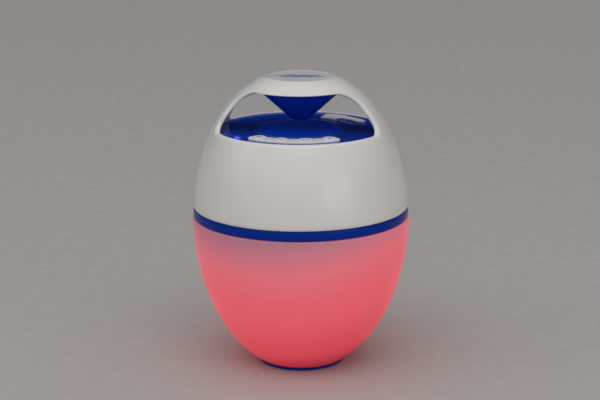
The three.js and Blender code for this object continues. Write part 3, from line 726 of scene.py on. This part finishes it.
def badge_waves():
    """Three plain wave strokes across the badge, each tapering at its ends."""
    apart = 3.4
    half_length = 16.0
    shorter = 0.9
    wave_height = 1.0
    wave_length = 8.0
    half_width = 0.85
    end_width = 0.02
    above_face = 0.04
    below_face = -0.3
    vertices = []
    faces = []
    along = np.linspace(-1, 1, 121)
    for offset in (-apart, 0.0, apart):
        x = along * (half_length - abs(offset) * shorter)
        y = offset + wave_height * np.sin(x * 2 * math.pi / wave_length)
        half = half_width * np.sqrt(np.maximum(1 - along ** 4, 0.0)) + end_width
        base = len(vertices)
        for lift in (above_face, below_face):
            for side in (-1, 1):
                edge_y = y + side * half
                vertices.extend(np.stack((x, edge_y, badge_height(np.hypot(x, edge_y)) + lift), 1))
        count = len(along)
        top_low, top_high, under_low, under_high = [base + k * count for k in range(4)]
        loops = [(top_low, top_high), (top_high, under_high), (under_high, under_low), (under_low, top_low)]
        for a, b in loops:
            faces += [(a + i, a + i + 1, b + i + 1, b + i) for i in range(count - 1)]
        for i in (0, count - 1):
            faces.append((top_low + i, top_high + i, under_high + i, under_low + i))
    piece = make_object("badge_waves", vertices, faces, "badge_blue")
    return place_piece(piece, CASING, "badge_grey")


# ---------------------------------------------------------------- lower half

def bowl_reach(z, radius, drop):
    """Radius at height z of a bowl that is this wide at its rim and this deep."""
    inside = np.maximum(1 - (np.maximum(BOWL_HIGH - z, 0) / drop) ** BOWL_BULGE, 0)
    return radius * inside ** (1 / BOWL_FULLNESS)


def lower_bowl():
    """The bowl with its rounded rim, and the recess in its bottom that the foot's hub enters."""
    floor = 7.3
    recess = FOOT_HUB_TOP + 0.3
    hub = 22.3
    shoulder = BOWL_RIM - 1.5
    inside = BOWL_RADIUS - BOWL_WALL
    outer_z = BOWL_HIGH - (BOWL_HIGH - BOWL_LOW) * np.sin(np.linspace(math.pi / 2, 0, 90))
    inner_z = BOWL_HIGH - (BOWL_HIGH - floor) * np.sin(np.linspace(0, math.pi / 2, 40))
    outer = np.stack((bowl_reach(outer_z, BOWL_RADIUS, BOWL_DROP), outer_z), 1)
    inner = np.stack((bowl_reach(inner_z, inside, BOWL_DROP - BOWL_WALL), inner_z), 1)
    rim = rounded([
        (BOWL_RADIUS, shoulder, 0), (BOWL_RADIUS, BOWL_RIM, 0.7), (inside, BOWL_RIM, 0.4),
        (inside, shoulder, 0),
    ], closed=False)
    outer = outer[outer[:, 1] < shoulder - 0.1]
    inner = inner[inner[:, 1] < shoulder - 0.1]
    profile = [(0, recess), (hub, recess), (hub, BOWL_LOW), *outer, *rim, *inner, (0, floor)]
    piece = turned("bowl_shell", profile, "bowl", 240)
    return place_piece(piece, CASING, "bowl", "lower_bowl")


def band():
    """The hoop between the halves, with a slightly bellied face and a spigot into each half."""
    gap = 0.3
    low = BOWL_RIM + gap
    high = JOIN - gap
    belly = 0.25
    edge = 0.6
    flat = BAND_RADIUS - 0.15
    spigot = 66.0
    spigot_wall = 2.5
    spigot_reach = 7.0
    face = [(flat + belly * math.sin(math.pi * t), low + edge + (high - low - 2 * edge) * t)
            for t in np.linspace(0, 1, 9)]
    profile = [
        (spigot, low),
        *rounded([(spigot, low, 0), (flat, low, edge), (*face[0], 0)], closed=False),
        *face[1:-1],
        *rounded([(*face[-1], 0), (flat, high, edge), (spigot, high, 0)], closed=False),
        (spigot, high + spigot_reach), (spigot - spigot_wall, high + spigot_reach),
        (spigot - spigot_wall, low - spigot_reach), (spigot, low - spigot_reach),
    ]
    piece = turned("band_hoop", profile, "blue_band", 240, closed=True)
    return place_piece(piece, CASING, "blue_gloss", "band_ring")


def foot():
    """The disc that the light stands on, with three stepped screw holes."""
    rim = 2.0
    edge = 0.6
    hub = 22.0
    screw_circle = 11.0
    shank = 1.6
    head = 3.0
    head_depth = 1.8
    flat = FOOT_RADIUS - edge
    arc = np.linspace(0, math.pi / 2, 5)
    side = [(hub, FOOT_HUB_TOP), (hub, rim)]
    side += [(flat + edge * math.sin(t), rim - edge + edge * math.cos(t)) for t in arc]
    side += [(flat + edge * math.cos(t), edge - edge * math.sin(t)) for t in arc]
    outer = [ring_points(circle(radius, points=128), height) for radius, height in side]
    steps = [(shank, FOOT_HUB_TOP), (shank, head_depth), (head, head_depth), (head, 0.0)]
    holes = []
    for angle in (0, 120, 240):
        centre = on_plan(screw_circle, angle)
        holes.append([ring_points(circle(radius, centre, 24), height) for radius, height in steps])
    piece = plate("foot_disc", [outer, *holes], "blue_band")
    return place_piece(piece, CASING, "blue_gloss", "base_foot")


# ---------------------------------------------------------------- under the bridge

def diffuser():
    """The inverted cone. Its face carries fine upright ribs crossed by faint rings."""
    tip_radius = 11.0
    slope = 1.1
    mouth = 180.0
    rim_low = 180.7
    rim_high = 181.8
    rim_edge = 0.3
    wall = 2.0
    ribs = 84
    rib_depth = 0.11
    ring_depth = 0.05
    ring_step = 1.6
    plain_tip = 5.0
    full_depth_after = 7.0
    lean = math.atan(slope)
    turns = np.linspace(0, math.pi / 2 - lean, 14)
    centre = CONE_TIP + tip_radius
    ball = [(tip_radius * math.sin(t), centre - tip_radius * math.cos(t)) for t in turns]
    start, low = ball[-1]
    straight = [(start + (z - low) * slope, z) for z in np.linspace(low, mouth, 64)[1:]]
    rim = rounded([
        (straight[-1][0], mouth, 0), (CONE_RADIUS, rim_low, rim_edge), (CONE_RADIUS, rim_high, rim_edge),
        (CONE_RADIUS - wall, rim_high, 0),
    ], closed=False)
    inner = [(max(r - wall * 0.7, 0), z + wall * 0.9) for r, z in reversed(ball + straight[::8])]
    profile = [*ball, *straight, *rim[1:], *inner[:-1], (0, inner[-1][1])]

    def shape(points):
        x, y, z = points[..., 0], points[..., 1], points[..., 2]
        reach = np.hypot(x, y)
        turn = np.arctan2(y, x)
        along = (z - CONE_TIP) / math.cos(lean)
        outer_rows = np.arange(len(points)) < len(ball) + len(straight)
        fade = np.clip((reach - plain_tip) / full_depth_after, 0, 1) * outer_rows[:, None]
        groove = rib_depth * np.cos(ribs * turn) + ring_depth * np.cos(along * 2 * math.pi / ring_step)
        scale = 1 + fade * groove / np.maximum(reach, 1)
        return np.stack((x * scale, y * scale, z), -1)

    piece = turned("diffuser_skin", profile, "blue_textured", ribs * 6, shape=shape, smooth_angle=60)
    return place_piece(piece, CASING, "blue_textured", "diffuser_cone")


def deck_panel():
    """The deck: an upturned rim, a seat for the loudspeaker, and wells for keys, lens and socket."""
    radius = 53.95
    thick = 3.0
    under = DECK_TOP - thick
    recess = 30.4
    recess_edge = 0.2
    seat = 153.0
    speaker_hole = 25.5
    well = 4.9
    rim = [(52.3, 0.0), (52.9, 0.12), (53.4, 0.38), (53.7, 0.45), (53.88, 0.4), (radius, 0.2)]
    rim.append((radius, -thick))
    outer = [ring_points(circle(reach, points=240), DECK_TOP + rise) for reach, rise in rim]
    steps = [
        (recess + recess_edge, DECK_TOP), (recess, DECK_TOP - recess_edge), (recess, seat),
        (speaker_hole, seat), (speaker_hole, under),
    ]
    middle = [ring_points(circle(reach, points=160), height) for reach, height in steps]
    wells = [key_hole(well, angle, under, DECK_TOP, points=40) for angle in KEY_ANGLES]
    status = hole_rings(lambda growth: status_outline(0.3 + growth), under, DECK_TOP, 0.15)
    socket = hole_rings(socket_outline, under, DECK_TOP, 0.2)
    piece = plate("deck_panel", [outer, middle, *wells, status, socket], "blue_gloss")
    return place_piece(piece, CASING, "blue_gloss", "deck")


def key_hole(radius, angle, low, high, edge=0.0, points=48):
    """Rings of a round hole for the key at this angle."""
    centre = on_plan(KEY_CIRCLE, angle)
    return hole_rings(lambda growth: circle(radius + growth, centre, points), low, high, edge)


def status_outline(growth):
    """Outline of the status lens, widened by growth."""
    length, width, corner = 5.6, 2.4, 1.19
    return bent_bar(length + 2 * growth, width + 2 * growth, corner + growth, *STATUS_PLACE)


def socket_outline(growth):
    """Outline of the charging socket's hole, widened by growth."""
    length, width, corner = 8.4, 3.2, 0.8
    middle = sum(PORT_FLAP) / 2
    return bent_bar(length + 2 * growth, width + 2 * growth, corner + growth, middle, SOCKET_ANGLE)


def status_lens():
    low = DECK_TOP - 2.8
    high = DECK_TOP + 0.35
    rings = edge_rings(lambda inset: status_outline(-inset), low, high, 0.6)
    piece = plate("status_light", [rings], "status_glow")
    return place_piece(piece, CASING, "status_glow", "status_lens")


def grille():
    """A slightly domed plate pierced by rings of small round holes."""
    pitch = 1.72
    hole_rows = 15
    hole = 0.56
    flare = 0.08
    flare_depth = 0.12
    thick = 1.0
    top = DECK_TOP + 0.05
    rise = 0.5
    edge = 0.3
    outer = edge_rings(lambda inset: circle(GRILLE_RADIUS - inset, points=160), top - thick, top, edge)
    holes = []
    for row in range(1, hole_rows + 1):
        for i in range(6 * row):
            centre = on_plan(row * pitch, (i + 0.5 * (row % 2)) * 60 / row)
            holes.append([
                ring_points(circle(hole + flare, centre, 10), top),
                ring_points(circle(hole, centre, 10), top - flare_depth),
                ring_points(circle(hole, centre, 10), top - thick),
            ])

    def dome(points):
        reach = np.hypot(points[:, 0], points[:, 1]) / GRILLE_RADIUS
        lifted = points.copy()
        lifted[:, 2] += rise * (1 - reach ** 2)
        return lifted

    # The grille's brighter blue is painted light.
    piece = plate("grille_plate", [outer, *holes], "blue_textured_painted_lit", shape=dome)
    return place_piece(piece, CASING, "blue_textured", "speaker_grille")


def grille_trim():
    inner = GRILLE_RADIUS + 0.3
    low = GRILLE_LOW
    high = DECK_TOP + 0.6
    slant = 0.4
    bevel = 0.7
    profile = rounded([
        (inner, low, 0), (RING_OUTER, low, 0), (RING_OUTER, high, 0.7), (inner + slant, high, 0.5),
        (inner, high - bevel, 0.1),
    ])
    piece = turned("grille_trim", profile, "blue_trim", 192, closed=True)
    return place_piece(piece, CASING, "blue_gloss", "grille_ring")


# ---------------------------------------------------------------- keypad

def keypad():
    """The strip round the four caps, its ends nearly half circles."""
    sweep = 71.2
    ends = 9.6
    length = KEY_CIRCLE * math.radians(sweep) + ends
    width = 10.6
    corner = 5.29
    middle_angle = -0.6
    low = KEYPAD_LOW - 0.2
    edge = 0.4
    hole = 4.6
    hole_edge = 0.08
    steps = 40

    def outline(inset):
        return bent_bar(length, width, corner, KEY_CIRCLE, middle_angle, inset, steps)

    rings = edge_rings(outline, low, KEYPAD_TOP, edge)
    holes = [key_hole(hole, angle, low, KEYPAD_TOP, hole_edge) for angle in KEY_ANGLES]
    piece = plate("keypad_skin", [rings, *holes], "silicone")
    return place_piece(piece, CASING, "silicone", "keypad_strip")


def cap_height(reach):
    """Height of a cap's dished face at a distance from the cap's middle."""
    return BUTTON_TOP - CAP_DISH * (1 - (reach / (CAP_RADIUS - CAP_EDGE)) ** 2)


def key_cap(key, angle):
    """A round cap with a dished face, on a short stem that meets its switch."""
    low = DECK_TOP - 0.3
    stem = 1.6
    flat = CAP_RADIUS - CAP_EDGE
    arc = np.linspace(0, math.pi / 2, 7)
    side = [(flat + CAP_EDGE * math.cos(t), BUTTON_TOP - CAP_EDGE + CAP_EDGE * math.sin(t)) for t in arc]
    face = [(reach, cap_height(reach)) for reach in np.linspace(flat, 0, 9)[1:]]
    profile = [(0, low - 1), (stem, low - 1), (stem, low), (CAP_RADIUS, low), *side, *face]
    centre = on_plan(KEY_CIRCLE, angle)

    def shift(points):
        return points + np.array((centre[0], centre[1], 0.0))

    piece = turned(f"keycap_{key}", profile, "silicone", 64, shape=shift)
    place_piece(piece, f"button_{key}", "silicone", f"button_{key}")


def bar_shape(x, width, height):
    """Outline of a rectangle whose middle is x to the right."""
    half, rise = width / 2, height / 2
    return np.array(((x - half, -rise), (x + half, -rise), (x + half, rise), (x - half, rise)))


def key_symbols():
    """Plain outlines of the printed symbols, in millimetres, upright for someone in front."""
    sun = 0.85
    ray_start = 1.25
    ray_end = 1.95
    ray_half = 0.17
    rays = []
    for i in range(8):
        turn = math.radians(45 * i)
        out = np.array((math.cos(turn), math.sin(turn)))
        side = np.array((-out[1], out[0])) * ray_half
        near = out * ray_start
        far = out * ray_end
        rays.append(np.array((near - side, far - side, far + side, near + side)))
    arm = 1.5
    half = 0.3
    plus = np.array((
        (-half, -arm), (half, -arm), (half, -half), (arm, -half), (arm, half), (half, half),
        (half, arm), (-half, arm), (-half, half), (-arm, half), (-arm, -half), (-half, -half),
    ))
    arrow = np.array(((-1.9, -1.2), (0.2, 0.0), (-1.9, 1.2)))
    return {
        "light": [circle(sun, points=24), *rays],
        "volume_down": [bar_shape(0.0, 2 * arm, 2 * half)],
        "play": [arrow, bar_shape(0.9, 0.5, 2.3), bar_shape(1.9, 0.5, 2.3)],
        "volume_up": [plus],
    }


def key_print(key, angle, outlines):
    """Thin printed islands that follow the dish of the key."""
    along = np.array((math.cos(math.radians(angle)), math.sin(math.radians(angle))))
    away = np.array((-along[1], along[0]))
    centre = on_plan(KEY_CIRCLE, angle)
    above_face = 0.03
    below_face = -0.25
    vertices = []
    faces = []
    for outline in outlines:
        count = len(outline)
        base = len(vertices)
        for lift in (above_face, below_face):
            for u, v in outline:
                vertices.append((*(centre + along * u + away * v), cap_height(math.hypot(u, v)) + lift))
        faces.append([base + i for i in range(count)])
        faces.append([base + count + i for i in reversed(range(count))])
        for i in range(count):
            j = (i + 1) % count
            faces.append((base + i, base + count + i, base + count + j, base + j))
    piece = make_object(f"keyprint_{key}", vertices, faces, "key_print")
    place_piece(piece, f"button_{key}", "black_plastic")


# ---------------------------------------------------------------- charging port

def block_between(radii, first, last, inset):
    """Outline between two radii and two angles. The first end is nearly square, the last one rounded."""
    square_end = 0.3
    round_end = 2.6
    least = 0.04
    inner, outer = radii
    middle = (inner + outer) / 2
    half_width = (outer - inner) / 2 - inset
    sign = math.copysign(1, last - first)
    span = math.radians(abs(last - first)) * middle
    start = inset
    end = span - inset
    small = max(square_end - inset, least)
    large = max(round_end - inset, least)
    flat = rounded([
        (start, -half_width, small), (end, -half_width, large),
        (end, half_width, large), (start, half_width, small),
    ], arc_steps=8, side_steps=(14, 1))
    turn = math.radians(first) + sign * flat[:, 0] / middle
    reach = middle + flat[:, 1]
    return np.stack((reach * np.sin(turn), -reach * np.cos(turn)), 1)


def soft_block(name, outline, low, high):
    """A soft moulded block whose top swells a little inside its rounded edge."""
    swell = 0.12
    top_edge = 0.45
    under_edge = 0.15
    shoulder = high - swell
    rings = edge_rings(outline, low, shoulder, top_edge, under_edge)
    crown = [ring_points(outline(inset), shoulder + share * swell)
             for inset, share in ((2.0, 1.0), (1.4, 0.85), (0.9, 0.5))]
    return plate(name, [crown + rings], "silicone", smooth_angle=50)


def port():
    """The anchored part of the port's cover, the flap, and the bung under the flap."""
    low = DECK_TOP + 0.1
    gap = 0.25

    def anchor_outline(inset):
        return block_between(PORT_ANCHOR, PORT_HINGE + gap, PORT_LEFT, inset)

    def flap_outline(inset):
        return block_between(PORT_FLAP, PORT_HINGE - gap, PORT_RIGHT, inset)

    def bung_outline(inset):
        play = 0.5
        return socket_outline(-play - inset)

    anchor = soft_block("port_anchor", anchor_outline, low, PORT_TOP)
    place_piece(anchor, CASING, "silicone", "port_cover")
    flap = soft_block("port_lid", flap_outline, low, PORT_TOP)
    place_piece(flap, "port_flap", "silicone", "port_flap")
    bung_low = DECK_TOP - 1.1
    bung_high = low + 0.6
    bung = plate("port_bung", [edge_rings(bung_outline, bung_low, bung_high, 0.1, 0.3)], "silicone")
    place_piece(bung, "port_flap", "silicone")


# ---------------------------------------------------------------- CAD nodes that stay

INNER_FINISH = {
    "cone_screw": "steel", "deck_screw": "steel", "driver_screw": "steel", "board_screw": "steel",
    "shell_screw": "steel", "foot_screw": "steel", "charging_socket": "steel", "button_board": "circuit",
    "tact_switch": "black_plastic", "driver_frame": "black_plastic", "driver_magnet": "ferrite",
    "driver_surround": "rubber", "driver_cone": "paper", "chassis_plate": "black_plastic",
    "main_board": "circuit", "battery_cradle": "black_plastic", "battery_cell": "cell_wrap",
    "reflector": "white_plastic", "led_board": "circuit", "led": "lamp", "seal_ring": "rubber",
    "ballast_weight": "ferrite",
}


def finish_inner_nodes():
    """Gives each CAD node that stays its finish, by its name without a number at the end."""
    for name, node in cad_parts.items():
        stem = name.rstrip("0123456789").rstrip("_")
        finish = INNER_FINISH.get(name) or INNER_FINISH.get(stem)
        if finish:
            node.data.materials.clear()
            node.data.materials.append(MATERIALS[finish])


# ---------------------------------------------------------------- camera, floor and light

def camera():
    """The point of view: a little above the light, and slightly to the right of its front."""
    distance = 1.0
    height = 0.3603
    azimuth = math.radians(6.4)
    aside = math.radians(-0.038)
    pitch = math.radians(14.195)
    roll = math.radians(0.26)
    data = bpy.data.cameras.new("camera")
    data.sensor_width = 36
    data.lens = 95.1
    data.clip_start = 0.01
    data.clip_end = 100
    viewer = bpy.data.objects.new("camera", data)
    viewer.location = (distance * math.sin(azimuth), -distance * math.cos(azimuth), height)
    viewer.rotation_euler = (math.pi / 2 - pitch, roll, azimuth + aside)
    SCENE.collection.objects.link(viewer)
    SCENE.camera = viewer


def floor():
    """The pale floor, a hair below the foot."""
    mesh = bpy.data.meshes.new("floor")
    half = 6.0
    drop = -0.0003
    corners = [(-half, -half, drop), (half, -half, drop), (half, half, drop), (-half, half, drop)]
    mesh.from_pydata(corners, [], [(0, 1, 2, 3)])
    mesh.materials.append(pale_floor())
    ground = bpy.data.objects.new("floor", mesh)
    SCENE.collection.objects.link(ground)


def soft_box(name, place, aim, size, power):
    """A soft rectangular light at a place, turned towards a point."""
    data = bpy.data.lights.new(name, "AREA")
    data.shape = "RECTANGLE"
    data.size, data.size_y = size
    data.energy = power
    lamp = bpy.data.objects.new(name, data)
    lamp.location = place
    lamp.rotation_euler = (Vector(aim) - Vector(place)).to_track_quat("-Z", "Y").to_euler()
    SCENE.collection.objects.link(lamp)


def dim_horizon_sky():
    """Soft light from overhead and the front, fading to nearly nothing at the back."""
    world = bpy.data.worlds.new("studio")
    world.use_nodes = True
    tree = world.node_tree
    background = tree.nodes["Background"]
    place = tree.nodes.new("ShaderNodeTexCoord")
    towards = tree.nodes.new("ShaderNodeVectorMath")
    towards.operation = "DOT_PRODUCT"
    towards.inputs[1].default_value = (0, -0.32, 0.85)
    sky = tree.nodes.new("ShaderNodeValToRGB")
    tree.links.new(place.outputs["Generated"], towards.inputs[0])
    tree.links.new(towards.outputs["Value"], sky.inputs["Fac"])
    tree.links.new(sky.outputs["Color"], background.inputs["Color"])
    horizon, overhead = sky.color_ramp.elements
    horizon.position = 0.12
    horizon.color = (0.012, 0.012, 0.014, 1)
    overhead.position = 0.85
    overhead.color = (1.0, 0.99, 0.98, 1)
    background.inputs["Strength"].default_value = 0.88
    SCENE.world = world


def studio():
    """A large soft light high in front, a low one that looks into the window, and a faint one on the left."""
    band_height = (0, 0, 0.12)
    window_height = (0, 0, 0.16)
    dim_horizon_sky()
    soft_box("key", (0.05, -1.0, 1.5), band_height, (1.5, 0.9), 3.4)
    soft_box("right", (1.0, -0.9, 0.34), window_height, (0.8, 0.5), 1.6)
    soft_box("left", (-1.2, -0.5, 0.7), window_height, (0.7, 0.7), 1.0)
    SCENE.view_settings.view_transform = "Standard"


# ---------------------------------------------------------------- assembly

camera()
floor()
studio()
upper_shell()
top_badge()
badge_waves()
lower_bowl()
band()
foot()
diffuser()
deck_panel()
status_lens()
grille()
grille_trim()
keypad()
symbols = key_symbols()
for key, angle in zip(KEYS, KEY_ANGLES):
    key_cap(key, angle)
    key_print(key, angle, symbols[key])
port()
finish_inner_nodes()
